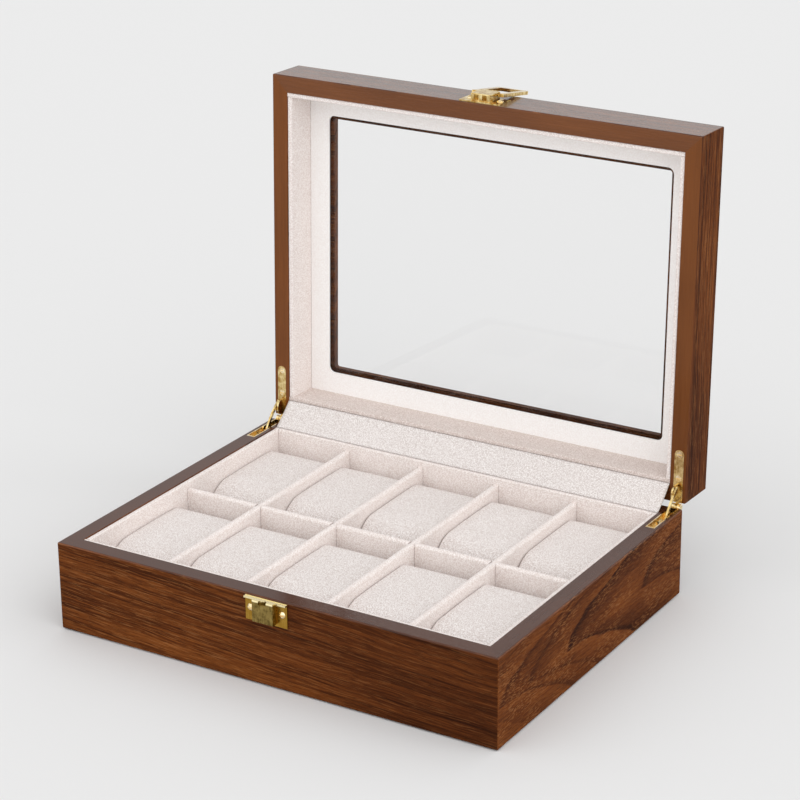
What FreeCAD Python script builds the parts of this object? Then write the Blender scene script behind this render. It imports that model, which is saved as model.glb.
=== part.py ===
"""Watch box: ten cushions in a divided tray, under a glazed lid that stands open on stop hinges.

Millimetres. +Z is up, +X to the right and the front faces -Y. The origin is the middle of the underside.
Pieces of the lid are drawn shut, on top of the base, and then turned open about the hinge axis.
"""
import FreeCAD
import Part
import Sketcher
import math
import os

COLUMNS = 5
ROWS = ("front", "rear")
SIDES = {"left": -1, "right": 1}

# Driving sizes in millimetres, with the lid's opening in degrees
SIZES = {
    # Wooden case
    "box_width": 290,
    "box_depth": 222,
    "base_height": 54.4,
    "lid_height": 28.8,
    "wall": 10.5,
    "edge_radius": 0.8,
    "closing_gap": 0.3,
    "floor_thickness": 4,
    "felt_thickness": 0.8,
    "felt_inset": 2,
    "rear_rebate_width": 6,
    "rear_rebate_depth": 0.8,
    # Suede linings and dividers
    "liner_thickness": 3,
    "liner_setback": 0.6,
    "liner_edge_round": 0.8,
    "floor_liner_thickness": 1.5,
    "divider_thickness": 4,
    "divider_drop": 4.5,
    "divider_top_flat": 0.4,
    "divider_clearance": 0.05,
    # Cushions
    "cushion_length": 79,
    "cushion_height": 37.7,
    "cushion_crown": 0.4,
    "cushion_drawn_in": 0.5,
    "cushion_front_shoulder": 20,
    "cushion_rear_shoulder": 12.5,
    "cushion_lower_round": 6,
    "cushion_side_gap": 0.5,
    "front_row_gap": 4,
    "rear_row_gap": 1,
    "cushion_seat_gap": 0.1,
    # Window of the lid
    "panel_thickness": 5.5,
    "mat_thickness": 1.3,
    "window_width": 236,
    "window_depth": 168,
    "window_corner": 4,
    "window_ledge": 2.4,
    "glass_thickness": 1.5,
    "glass_overlap": 4,
    "glass_clearance": 0.2,
    # Hinges
    "lid_opening": 91.9,
    "hinge_axis_drop": 0.5,
    "leaf_recess": 0.1,
    "upper_leaf_thickness": 1.6,
    "channel_side_room": 0.9,
    "channel_side_wall": 0.75,
    "channel_end_wall": 1.2,
    "channel_floor": 1,
    "knuckle_radius": 2.1,
    "knuckle_back_gap": 0.3,
    "knuckle_gap": 0.15,
    "knuckle_middle": 2,
    "hinge_pin_radius": 0.9,
    "pin_clearance": 0.05,
    "mortise_clearance": 0.05,
    "hinge_screw_head": 2,
    "hinge_screw_head_height": 0.8,
    "hinge_screw_shank": 0.8,
    "hinge_screw_length": 9,
    "hinge_screw_sunk": 0.2,
    "lower_screw_inset": 6,
    "lower_screw_spacing": 11.5,
    "upper_screw_inset": 3,
    "upper_screw_spacing": 15,
    "screw_clearance": 0.05,
    "screw_slot": 0.5,
    # Stays
    "stay_reach": 12.6,
    "stay_length": 20,
    "stay_height": 1.8,
    "stay_thickness": 1.2,
    "stay_bow": 1.2,
    "stay_eye": 1.05,
    "stay_top_gap": 0.2,
    "stay_foot_gap": 0.6,
    "stay_ear_gap": 0.3,
    "ear_thickness": 1.2,
    "ear_front": 1.1,
    "ear_depth": 6.5,
    "ear_corner": 4,
    "ear_gap": 0.3,
    "rivet_radius": 0.5,
    # Latch on the lid and catch on the base
    "latch_plate_width": 27.4,
    "latch_plate_height": 14,
    "latch_plate_thickness": 0.8,
    "latch_plate_rise": 1.5,
    "latch_block_inset": 0.3,
    "latch_block_height": 12,
    "latch_block_rise": 3,
    "latch_block_proud": 5.2,
    "latch_socket": 3.2,
    "latch_socket_depth": 2.5,
    "latch_socket_spacing": 5.4,
    "catch_plate_height": 15.5,
    "catch_flange_depth": 2.5,
    "catch_flange_thickness": 1,
    "catch_block_width": 13.7,
    "catch_block_height": 13,
    "catch_block_drop": 1,
    "catch_block_proud": 5,
    "catch_notch_radius": 2.6,
    "catch_notch_depth": 2,
    "brass_edge_round": 0.5,
    "latch_screw_head": 2.2,
    "latch_screw_head_height": 1.2,
    "latch_screw_shank": 1,
    "latch_screw_length": 8,
    "hasp_axis_from_top": 2,
    "hasp_axis_from_front": 1.6,
    "hasp_pin_radius": 0.6,
    "hasp_clearance": 0.3,
    "hasp_arm": 3.6,
    "hasp_bar": 3.4,
    "hasp_arm_end": 1.4,
    "hasp_thickness": 2,
    "hasp_corner": 2.5,
    "hasp_rest_gap": 0.4,
    # Cloth strip behind the cushions
    "cloth_thickness": 0.8,
    "cloth_end_gap": 0.3,
    "cloth_seat": 0.45,
    "cloth_inset": 0.3,
}

doc = FreeCAD.newDocument("watch_box")
sheet = doc.addObject("Spreadsheet::Sheet", "sizes")
for row, (alias, value) in enumerate(SIZES.items(), start=1):
    sheet.set(f"A{row}", alias)
    sheet.set(f"B{row}", str(value))
    sheet.setAlias(f"B{row}", alias)
doc.recompute()

# Expressions that several pieces share, all on the sheet's values
HALF_X = "(sizes.box_width / 2)"
HALF_Y = "(sizes.box_depth / 2)"
INNER_X = f"({HALF_X} - sizes.wall)"
INNER_Y = f"({HALF_Y} - sizes.wall)"
LINED_X = f"({INNER_X} - sizes.liner_thickness)"
LINED_Y = f"({INNER_Y} - sizes.liner_thickness)"
RIM = "(sizes.felt_thickness + sizes.base_height)"
LID_RIM = f"({RIM} + sizes.closing_gap)"
LID_TOP = f"({LID_RIM} + sizes.lid_height)"
PANEL_LOW = f"({LID_TOP} - sizes.panel_thickness)"
MAT_LOW = f"({PANEL_LOW} - sizes.mat_thickness)"
FLOOR_TOP = "(sizes.felt_thickness + sizes.floor_thickness)"
TRAY_FLOOR = f"({FLOOR_TOP} + sizes.floor_liner_thickness)"
LINER_TOP = f"({RIM} - sizes.liner_setback)"
DIVIDER_TOP = f"({RIM} - sizes.divider_drop)"
DIVIDER_MIDDLE = f"(({TRAY_FLOOR} + {DIVIDER_TOP}) / 2)"
COLUMN_PITCH = f"((2 * {LINED_X} + sizes.divider_thickness) / {COLUMNS})"

# Hinges: the channel of the lower leaf takes the folded stay, and the pocket at its back the ear beside it
HINGE_X = f"({HALF_X} - sizes.wall / 2)"
AXIS_Y = f"({HALF_Y} + sizes.knuckle_radius + sizes.knuckle_back_gap)"
AXIS_Z = f"({RIM} - sizes.hinge_axis_drop)"
STAY_PIVOT_Y = f"({AXIS_Y} - sizes.stay_reach)"
STAY_PIVOT_Z = f"({RIM} - sizes.stay_top_gap - sizes.stay_height / 2 - sizes.stay_bow)"
STAY_FOOT_Y = f"({STAY_PIVOT_Y} - sizes.stay_length)"
STAY_ARC = "((sizes.stay_length ^ 2 / 4 + sizes.stay_bow ^ 2) / (2 * sizes.stay_bow))"
CHANNEL_PAIR = "(sizes.stay_thickness + sizes.stay_ear_gap + sizes.ear_thickness)"
CHANNEL_HALF = f"({CHANNEL_PAIR} / 2 + sizes.channel_side_room)"
CHANNEL_FLOOR = f"({STAY_PIVOT_Z} - sizes.stay_eye - sizes.ear_gap)"
CHANNEL_FRONT = f"({STAY_FOOT_Y} - sizes.stay_eye - sizes.stay_foot_gap)"
CHANNEL_BACK = f"({HALF_Y} - sizes.channel_end_wall)"
LEAF_HALF = f"({CHANNEL_HALF} + sizes.channel_side_wall)"
LEAF_FRONT = f"({CHANNEL_FRONT} - sizes.channel_end_wall)"
LOWER_LEAF_TOP = f"({RIM} - sizes.leaf_recess)"
UPPER_LEAF_LOW = f"({LID_RIM} + sizes.leaf_recess)"
EAR_FRONT = f"({STAY_PIVOT_Y} - sizes.ear_front)"
EAR_BACK = f"({CHANNEL_BACK} - sizes.ear_gap)"
EAR_LOW = f"({UPPER_LEAF_LOW} - sizes.ear_depth)"
POCKET_FRONT = f"({EAR_FRONT} - 2 * sizes.ear_gap)"
POCKET_FLOOR = f"({EAR_LOW} - sizes.ear_gap)"
LOWER_LEAF_LOW = f"({POCKET_FLOOR} - sizes.channel_floor)"
LOWER_SCREW_Z = f"({CHANNEL_FLOOR} - sizes.hinge_screw_sunk)"
UPPER_SCREW_Z = f"({UPPER_LEAF_LOW} + sizes.hinge_screw_sunk)"

# Latch: the hasp hangs on the block of the lid and drops over the block of the base
CATCH_TOP = f"({RIM} - sizes.catch_block_drop)"
CATCH_LOW = f"({CATCH_TOP} - sizes.catch_block_height)"
CATCH_HALF = "(sizes.catch_block_width / 2)"
LATCH_HALF = f"({CATCH_HALF} - sizes.latch_block_inset)"
LATCH_LOW = f"({LID_RIM} + sizes.latch_block_rise)"
HASP_AXIS_Y = f"(-{HALF_Y} - sizes.latch_block_proud + sizes.hasp_axis_from_front)"
HASP_AXIS_Z = f"({LATCH_LOW} + sizes.latch_block_height - sizes.hasp_axis_from_top)"
HASP_INNER = f"({CATCH_HALF} + sizes.hasp_clearance)"
HASP_OUTER = f"({HASP_INNER} + sizes.hasp_arm)"
PLATE_FRONT = f"(-{HALF_Y} - sizes.latch_plate_thickness)"
PLATE_SCREW_X = f"((sizes.latch_plate_width / 2 + {CATCH_HALF}) / 2)"
LATCH_SCREW_Z = f"({LID_RIM} + sizes.latch_plate_rise + sizes.latch_plate_height / 2)"
CATCH_SCREW_Z = f"({RIM} - sizes.catch_plate_height / 2)"

# The same places as plain numbers, for the pieces that are lofted or turned open
column_pitch = 2 * (sheet.box_width / 2 - sheet.wall - sheet.liner_thickness) + sheet.divider_thickness
column_pitch = column_pitch / COLUMNS
rim = sheet.felt_thickness + sheet.base_height
axis_y = sheet.box_depth / 2 + sheet.knuckle_radius + sheet.knuckle_back_gap
axis_z = rim - sheet.hinge_axis_drop
stay_pivot_y = axis_y - sheet.stay_reach
stay_pivot_z = rim - sheet.stay_top_gap - sheet.stay_height / 2 - sheet.stay_bow
hasp_proud = sheet.latch_block_proud - sheet.hasp_axis_from_front
hasp_rise = sheet.latch_block_rise + sheet.latch_block_height - sheet.hasp_axis_from_top

ALONG = {
    "x": FreeCAD.Rotation(FreeCAD.Vector(0, 1, 0), 90),
    "y": FreeCAD.Rotation(FreeCAD.Vector(1, 0, 0), -90),
    "z": FreeCAD.Rotation(),
    "-y": FreeCAD.Rotation(FreeCAD.Vector(1, 0, 0), 90),
    "-z": FreeCAD.Rotation(FreeCAD.Vector(1, 0, 0), 180),
}
sub_parts = []


def bind(made, texts):
    """Ties each property of a piece to its expression on the sheet."""
    for name, text in texts.items():
        made.setExpression(name, text)
    return made


def place(made, base, rotation=None):
    """Puts a piece at a point given by three expressions, turned by a fixed rotation."""
    made.Placement = FreeCAD.Placement(FreeCAD.Vector(), rotation or FreeCAD.Rotation())
    return bind(made, {f"Placement.Base.{axis}": text for axis, text in zip("xyz", base)})


def block(name, low, lengths):
    """Plain block from its low corner and its three lengths."""
    made = bind(doc.addObject("Part::Box", name), dict(zip(("Length", "Width", "Height"), lengths)))
    return place(made, low)


def centred_block(name, half_x, half_y, low_z, height):
    """Block centred on the Z axis, from its half width and half depth."""
    return block(name, (f"-{half_x}", f"-{half_y}", low_z), (f"2 * {half_x}", f"2 * {half_y}", height))


def rod(name, start, along, radius, length):
    """Round rod from its start point, in one of the named directions."""
    made = bind(doc.addObject("Part::Cylinder", name), {"Radius": radius, "Height": length})
    return place(made, start, ALONG[along])


def joined(name, shapes):
    """Several solids fused into one."""
    made = doc.addObject("Part::MultiFuse", name)
    made.Shapes = shapes
    return made


def cut(name, base, tools):
    """One solid less several others."""
    made = doc.addObject("Part::Cut", name)
    made.Base = base
    made.Tool = tools[0] if len(tools) == 1 else grouped(f"{name}_tools", tools)
    return made


def shared(name, first, second):
    """The space that two solids share."""
    made = doc.addObject("Part::MultiCommon", name)
    made.Shapes = [first, second]
    return made


def grouped(name, shapes):
    """Several separate solids kept together as one group."""
    made = doc.addObject("Part::Compound", name)
    made.Links = shapes
    return made


def rounded(name, base, radius, chosen):
    """A solid with the edges that a test chooses rounded off."""
    doc.recompute()
    made = doc.addObject("Part::Fillet", name)
    made.Base = base
    edges = enumerate(base.Shape.Edges, start=1)
    made.Edges = [(number, radius, radius) for number, edge in edges if chosen(edge)]
    return made


def direction(edge):
    """Unit vector along a straight edge."""
    run = edge.Vertexes[-1].Point - edge.Vertexes[0].Point
    return run.normalize()


def is_upright(edge):
    """True for an edge that runs along Z."""
    return abs(direction(edge).z) > 0.999


def sub_part(label, made, placement=None):
    """Names a finished piece and, on the lid, turns it open (in a group, if the sheet already places it)."""
    if placement is not None:
        if made.ExpressionEngine:
            made = grouped(f"{label}_piece", [made])
        made.Placement = placement
    made.Label = label
    sub_parts.append(made)
    return made


def turned(axis_y, axis_z, degrees):
    """Placement that turns a piece about an axis along X."""
    centre = FreeCAD.Vector(0, axis_y, axis_z)
    return FreeCAD.Placement(FreeCAD.Vector(), FreeCAD.Rotation(FreeCAD.Vector(1, 0, 0), degrees), centre)


def new_sketch(body, name, role, offset="0"):
    """Sketch on one of the body's own origin planes, moved along its normal."""
    sketch = body.newObject("Sketcher::SketchObject", name)
    plane = next(feature for feature in body.Origin.OriginFeatures if feature.Role == role)
    sketch.AttachmentSupport = [(plane, "")]
    sketch.MapMode = "FlatFace"
    return bind(sketch, {"AttachmentOffset.Base.z": offset})


def tie(sketch, constraint, text):
    """Adds a constraint and binds its value to the sheet."""
    number = sketch.addConstraint(constraint)
    sketch.setExpression(f"Constraints[{number}]", text)


def draw_outline(sketch, corners):
    """Closed outline of straight edges, each corner tied by its two distances from the origin."""
    first = sketch.GeometryCount
    count = len(corners)
    turn = 2 * math.pi / count
    guess = [FreeCAD.Vector(math.cos(turn * k), math.sin(turn * k), 0) for k in range(count)]
    for k in range(count):
        sketch.addGeometry(Part.LineSegment(guess[k], guess[(k + 1) % count]), False)
    for k in range(count):
        following = first + (k + 1) % count
        sketch.addConstraint(Sketcher.Constraint("Coincident", first + k, 2, following, 1))
    for k, (across, up) in enumerate(corners):
        tie(sketch, Sketcher.Constraint("DistanceX", -1, 1, first + k, 1, guess[k].x), across)
        tie(sketch, Sketcher.Constraint("DistanceY", -1, 1, first + k, 1, guess[k].y), up)


def draw_circle(sketch, across, up, radius):
    """Circle tied by its centre and radius."""
    centre = FreeCAD.Vector(1, 1, 0)
    number = sketch.addGeometry(Part.Circle(centre, FreeCAD.Vector(0, 0, 1), 1), False)
    tie(sketch, Sketcher.Constraint("DistanceX", -1, 1, number, 3, centre.x), across)
    tie(sketch, Sketcher.Constraint("DistanceY", -1, 1, number, 3, centre.y), up)
    tie(sketch, Sketcher.Constraint("Radius", number, 1), radius)


def pad(body, name, sketch, length):
    """Raises a sketch into a solid."""
    made = body.newObject("PartDesign::Pad", name)
    made.Profile = sketch
    return bind(made, {"Length": length})


def drill(body, name, sketch):
    """Cuts a sketch right through the body, both ways, and checks that it took something away."""
    doc.recompute()
    before = body.Shape.Volume
    made = body.newObject("PartDesign::Pocket", name)
    made.Profile = sketch
    made.Type = "ThroughAll"
    made.Midplane = True
    doc.recompute()
    if body.Shape.Volume >= before:
        raise RuntimeError(f"{name} cuts nothing")
    return made


def soften(body, name, radius, chosen):
    """Rounds the edges of a body that a test chooses."""
    doc.recompute()
    tip = body.Tip
    made = body.newObject("PartDesign::Fillet", name)
    edges = enumerate(tip.Shape.Edges, start=1)
    made.Base = (tip, [f"Edge{number}" for number, edge in edges if chosen(edge)])
    return bind(made, {"Radius": radius})


def countersunk_screw(name, base, along):
    """Slotted wood screw with a conical head, its head's flat at the given point."""
    head = bind(doc.addObject("Part::Cone", f"{name}_head"), {
        "Radius1": "sizes.hinge_screw_head",
        "Radius2": "sizes.hinge_screw_shank",
        "Height": "sizes.hinge_screw_head_height",
    })
    shank = rod(f"{name}_shank", ("0", "0", "0"), "z", "sizes.hinge_screw_shank", "sizes.hinge_screw_length")
    slot = block(
        f"{name}_slot",
        ("-sizes.hinge_screw_head", "-sizes.screw_slot / 2", "0"),
        ("2 * sizes.hinge_screw_head", "sizes.screw_slot", "sizes.hinge_screw_head_height / 2"),
    )
    return place(cut(name, joined(f"{name}_body", [head, shank]), [slot]), base, ALONG[along])


def countersink(name, base, along):
    """Room for a countersunk screw: its head and shank with clearance, and the mouth above the head."""
    head = bind(doc.addObject("Part::Cone", f"{name}_sink"), {
        "Radius1": "sizes.hinge_screw_head + sizes.screw_clearance",
        "Radius2": "sizes.hinge_screw_shank + sizes.screw_clearance",
        "Height": "sizes.hinge_screw_head_height",
    })
    bore = rod(
        f"{name}_bore",
        ("0", "0", "0"),
        "z",
        "sizes.hinge_screw_shank + sizes.screw_clearance",
        "sizes.hinge_screw_length + sizes.screw_clearance",
    )
    mouth = rod(
        f"{name}_mouth",
        ("0", "0", "-sizes.hinge_screw_sunk"),
        "z",
        "sizes.hinge_screw_head + sizes.screw_clearance",
        "sizes.hinge_screw_sunk",
    )
    return place(joined(name, [head, bore, mouth]), base, ALONG[along])


def domed_screw(name, base):
    """Slotted wood screw with a round head that stands on the plate, driven towards +Y."""
    dome = "((sizes.latch_screw_head ^ 2 + sizes.latch_screw_head_height ^ 2)"
    dome = f"({dome} / (2 * sizes.latch_screw_head_height)))"
    head = bind(doc.addObject("Part::Sphere", f"{name}_head"), {
        "Radius": dome,
        "Angle1": f"asin(1 - sizes.latch_screw_head_height / {dome})",
    })
    place(head, ("0", "0", f"sizes.latch_screw_head_height - {dome}"))
    shank = rod(f"{name}_shank", ("0", "0", "0"), "-z", "sizes.latch_screw_shank", "sizes.latch_screw_length")
    slot = block(
        f"{name}_slot",
        ("-sizes.latch_screw_head", "-sizes.screw_slot / 2", "sizes.latch_screw_head_height / 2"),
        ("2 * sizes.latch_screw_head", "sizes.screw_slot", "sizes.latch_screw_head_height"),
    )
    return place(cut(name, joined(f"{name}_body", [head, shank]), [slot]), base, ALONG["-y"])


def domed_screw_bore(name, base):
    """Pilot hole of a round-headed screw."""
    return rod(
        name,
        base,
        "y",
        "sizes.latch_screw_shank + sizes.screw_clearance",
        "sizes.latch_screw_length + sizes.screw_clearance",
    )


def hinge_centre(side):
    """Middle of a hinge across the rim of its side wall."""
    return f"({SIDES[side]} * {HINGE_X})"


def hinge_screw_points(side, which, level):
    """The two screw points of one hinge leaf, measured from the front end of the leaf."""
    front = f"{LEAF_FRONT} + sizes.{which}_screw_inset"
    places = (front, f"{front} + sizes.{which}_screw_spacing")
    return [(hinge_centre(side), along, level) for along in places]


def leaf_outline(name, side, low, thickness, clearance, round_end):
    """Leaf of one thickness: straight run to the back of the box, with a round or a square front end."""
    grown = f"({LEAF_HALF} + {clearance})"
    start = f"({LEAF_FRONT} + {LEAF_HALF})" if round_end else f"({LEAF_FRONT} - {clearance})"
    run = block(
        f"{name}_run",
        (f"{hinge_centre(side)} - {grown}", start, low),
        (f"2 * {grown}", f"{HALF_Y} - {start}", thickness),
    )
    if not round_end:
        return run
    end = rod(f"{name}_end", (hinge_centre(side), start, low), "z", grown, thickness)
    return joined(name, [run, end])


def knuckle(name, side, start, length, low, height):
    """Slice of a hinge knuckle, with the web that ties it to its leaf."""
    first = f"{hinge_centre(side)} + {start}"
    barrel = rod(f"{name}_barrel", (first, AXIS_Y, AXIS_Z), "x", "sizes.knuckle_radius", length)
    web = block(f"{name}_web", (first, HALF_Y, low), (length, f"{AXIS_Y} - {HALF_Y}", height))
    return joined(name, [barrel, web])


def hinge_rod(name, side, radius):
    """Hinge pin, or the bore for it: the full width of the leaf, on the hinge axis."""
    start = (f"{hinge_centre(side)} - {LEAF_HALF}", AXIS_Y, AXIS_Z)
    return rod(name, start, "x", radius, f"2 * {LEAF_HALF}")


def hinge_bore(name, side):
    """Hole of the hinge pin."""
    return hinge_rod(name, side, "sizes.hinge_pin_radius + sizes.pin_clearance")


def lower_mortise(name, side):
    """Pocket that a lower leaf is let into."""
    clearance = "sizes.mortise_clearance"
    low = f"({LOWER_LEAF_LOW} - {clearance})"
    return leaf_outline(name, side, low, f"{RIM} - {low} + {clearance}", clearance, False)


def upper_mortise(name, side):
    """Pocket that an upper leaf is let into."""
    clearance = "sizes.mortise_clearance"
    height = "sizes.upper_leaf_thickness + sizes.leaf_recess + 2 * sizes.mortise_clearance"
    return leaf_outline(name, side, f"{LID_RIM} - {clearance}", height, clearance, True)


def mitred_board(name, case, side, low, height):
    """One side of a mitred case: the slice of the rounded block that falls to it."""
    turn, length, outset = {
        "rear": (0, HALF_X, HALF_Y),
        "left": (90, HALF_Y, HALF_X),
        "front": (180, HALF_X, HALF_Y),
        "right": (270, HALF_Y, HALF_X),
    }[side]
    wedge = bind(doc.addObject("Part::Wedge", f"{name}_wedge"), {
        "Xmin": f"-{length} + sizes.wall",
        "Xmax": f"{length} - sizes.wall",
        "X2min": f"-{length}",
        "X2max": length,
        "Ymin": f"{outset} - sizes.wall",
        "Ymax": outset,
        "Zmin": low,
        "Z2min": low,
        "Zmax": f"{low} + {height}",
        "Z2max": f"{low} + {height}",
    })
    wedge.Placement = FreeCAD.Placement(FreeCAD.Vector(), FreeCAD.Rotation(FreeCAD.Vector(0, 0, 1), turn))
    return shared(f"{name}_board", case, wedge)


def rounded_case(name, low, height):
    """Outside of the base or the lid as one block with every edge eased."""
    whole = centred_block(f"{name}_whole", HALF_X, HALF_Y, low, height)
    return rounded(name, whole, sheet.edge_radius, lambda edge: True)


def rear_rebate(name, low):
    """Step along the inner edge of a rear rim, where the cloth strip folds away."""
    return block(
        name,
        (f"-{INNER_X}", INNER_Y, low),
        (f"2 * {INNER_X}", "sizes.rear_rebate_width", "sizes.rear_rebate_depth"),
    )


def build_base_walls():
    """Four mitred walls with the hinge mortises and the pilot holes of the catch."""
    case = rounded_case("base_case", "sizes.felt_thickness", "sizes.base_height")
    cuts = {side: [] for side in ("front", "rear", "left", "right")}
    for side in SIDES:
        cuts[side].append(lower_mortise(f"mortise_base_{side}", side))
        cuts["rear"].append(lower_mortise(f"mortise_base_rear_{side}", side))
        for number, point in enumerate(hinge_screw_points(side, "lower", LOWER_SCREW_Z)):
            cuts[side].append(countersink(f"pilot_base_{side}_{number}", point, "-z"))
        screw = (f"{SIDES[side]} * {PLATE_SCREW_X}", PLATE_FRONT, CATCH_SCREW_Z)
        cuts["front"].append(domed_screw_bore(f"pilot_catch_{side}", screw))
    cuts["rear"].append(rear_rebate("rebate_base", f"{RIM} - sizes.rear_rebate_depth"))
    for side, tools in cuts.items():
        name = f"base_{side}_wall"
        board = mitred_board(name, case, side, "sizes.felt_thickness", "sizes.base_height")
        sub_part(name, cut(f"{name}_cut", board, tools))


def build_base_floor():
    """Floor board between the walls, and the felt glued under the case."""
    floor = centred_block("floor_board", INNER_X, INNER_Y, "sizes.felt_thickness", "sizes.floor_thickness")
    sub_part("base_floor", floor)
    half_x = f"({HALF_X} - sizes.felt_inset)"
    half_y = f"({HALF_Y} - sizes.felt_inset)"
    sub_part("base_felt", centred_block("felt_sheet", half_x, half_y, "0", "sizes.felt_thickness"))


def lies_along(level):
    """Test for the long level edges at one height."""
    def chosen(edge):
        at_level = all(abs(vertex.Z - level) < 1e-6 for vertex in edge.Vertexes)
        return at_level and edge.Length > sheet.wall
    return chosen


def lining_boards(prefix, low, height, chosen, placement=None):
    """Four lining boards: front and rear run the full width, left and right stand between them."""
    thick = "sizes.liner_thickness"
    spans = {
        "front": ((f"-{INNER_X}", f"-{INNER_Y}"), (f"2 * {INNER_X}", thick)),
        "rear": ((f"-{INNER_X}", LINED_Y), (f"2 * {INNER_X}", thick)),
        "left": ((f"-{INNER_X}", f"-{LINED_Y}"), (thick, f"2 * {LINED_Y}")),
        "right": ((LINED_X, f"-{LINED_Y}"), (thick, f"2 * {LINED_Y}")),
    }
    for side, (corner, plan) in spans.items():
        name = f"{prefix}_{side}"
        board = block(f"{name}_board", (*corner, low), (*plan, height))
        sub_part(name, rounded(f"{name}_eased", board, sheet.liner_edge_round, chosen), placement)


def build_base_linings():
    """Suede-covered boards of the tray."""
    floor = centred_block("liner_floor_board", INNER_X, INNER_Y, FLOOR_TOP, "sizes.floor_liner_thickness")
    sub_part("liner_floor", floor)
    eased = lies_along(rim - sheet.liner_setback)
    lining_boards("liner", TRAY_FLOOR, f"{LINER_TOP} - {TRAY_FLOOR}", eased)


def build_lid_linings(placement):
    """Suede-covered boards around the inside of the lid, from near its rim to the mat."""
    low = f"({LID_RIM} + sizes.liner_setback)"
    eased = lies_along(rim + sheet.closing_gap + sheet.liner_setback)
    lining_boards("lid_liner", low, f"{MAT_LOW} - {low}", eased, placement)


def column_edge(number):
    """Middle of the divider that stands after a column, counted from the left."""
    return f"({number - COLUMNS / 2} * {COLUMN_PITCH})"


def divider(name, role, half_length, slot_places, slots_from_top):
    """Board with a rounded top and half-height slots where it crosses the other dividers."""
    body = doc.addObject("PartDesign::Body", name)
    sketch = new_sketch(body, f"{name}_outline", role, "-sizes.divider_thickness / 2")
    half_slot = "(sizes.divider_thickness / 2 + sizes.divider_clearance)"
    notched, plain = (DIVIDER_TOP, TRAY_FLOOR) if slots_from_top else (TRAY_FLOOR, DIVIDER_TOP)
    corners = [(f"-{half_length}", plain), (f"-{half_length}", notched)]
    for slot in slot_places:
        corners.append((f"{slot} - {half_slot}", notched))
        corners.append((f"{slot} - {half_slot}", DIVIDER_MIDDLE))
        corners.append((f"{slot} + {half_slot}", DIVIDER_MIDDLE))
        corners.append((f"{slot} + {half_slot}", notched))
    corners += [(half_length, notched), (half_length, plain)]
    draw_outline(sketch, corners)
    pad(body, f"{name}_pad", sketch, "sizes.divider_thickness")
    doc.recompute()
    top = body.Shape.BoundBox.ZMax
    across = FreeCAD.Vector(0, 1, 0) if role == "XZ_Plane" else FreeCAD.Vector(1, 0, 0)

    def is_long_top(edge):
        at_top = all(abs(vertex.Z - top) < 1e-6 for vertex in edge.Vertexes)
        return at_top and abs(direction(edge).dot(across)) < 1e-6

    soften(body, f"{name}_round", "(sizes.divider_thickness - sizes.divider_top_flat) / 2", is_long_top)
    return sub_part(name, body)


def build_dividers():
    """Egg-crate: one long divider, and cross dividers that drop into its slots."""
    places = [column_edge(number) for number in range(1, COLUMNS)]
    divider("divider_long", "XZ_Plane", LINED_X, places, True)
    for number, across in enumerate(places, start=1):
        made = divider(f"divider_cross_{number}", "YZ_Plane", LINED_Y, ["0"], False)
        bind(made, {"Placement.Base.x": across})


def cushion_section(across, half_length, height):
    """Outline of a cushion across its length: flat seat, round lower edges, full shoulders, crowned top."""
    low = sheet.cushion_lower_round
    front = sheet.cushion_front_shoulder
    rear = sheet.cushion_rear_shoulder
    rise = sheet.cushion_crown
    bend = math.sqrt(0.5)

    def at(along, up):
        return FreeCAD.Vector(across, along, up)

    edges = [Part.LineSegment(at(-half_length + low, 0), at(half_length - low, 0))]
    elbow = low * (1 - bend)
    edges.append(Part.Arc(at(half_length - low, 0), at(half_length - elbow, elbow), at(half_length, low)))
    edges.append(Part.LineSegment(at(half_length, low), at(half_length, height - rear)))
    elbow = rear * (1 - bend)
    shoulder = at(half_length - elbow, height - elbow)
    edges.append(Part.Arc(at(half_length, height - rear), shoulder, at(half_length - rear, height)))
    crown = at((front - rear) / 2, height + rise)
    edges.append(Part.Arc(at(half_length - rear, height), crown, at(-half_length + front, height)))
    elbow = front * (1 - bend)
    shoulder = at(-half_length + elbow, height - elbow)
    edges.append(Part.Arc(at(-half_length + front, height), shoulder, at(-half_length, height - front)))
    edges.append(Part.LineSegment(at(-half_length, height - front), at(-half_length, low)))
    elbow = low * (1 - bend)
    edges.append(Part.Arc(at(-half_length, low), at(-half_length + elbow, elbow), at(-half_length + low, 0)))
    return Part.Wire([edge.toShape() for edge in edges])


def build_cushions():
    """Ten pillows, fullest at the middle and drawn in at both sewn ends, one in each compartment."""
    half_width = (column_pitch - sheet.divider_thickness) / 2 - sheet.cushion_side_gap
    full = sheet.cushion_length / 2
    sections = [
        cushion_section(-half_width, full - sheet.cushion_drawn_in, sheet.cushion_height),
        cushion_section(0, full, sheet.cushion_height + sheet.cushion_crown),
        cushion_section(half_width, full - sheet.cushion_drawn_in, sheet.cushion_height),
    ]
    pillow = Part.makeLoft(sections, True, False)
    backs = {"front": "-sizes.divider_thickness / 2", "rear": LINED_Y}
    for row in ROWS:
        along = f"{backs[row]} - sizes.{row}_row_gap - sizes.cushion_length / 2"
        for number in range(1, COLUMNS + 1):
            across = f"{number - (COLUMNS + 1) / 2} * {COLUMN_PITCH}"
            made = doc.addObject("Part::Feature", f"pillow_{row}_{number}")
            made.Shape = pillow
            place(made, (across, along, f"{TRAY_FLOOR} + sizes.cushion_seat_gap"))
            sub_part(f"cushion_{row}_{number}", made)


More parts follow.
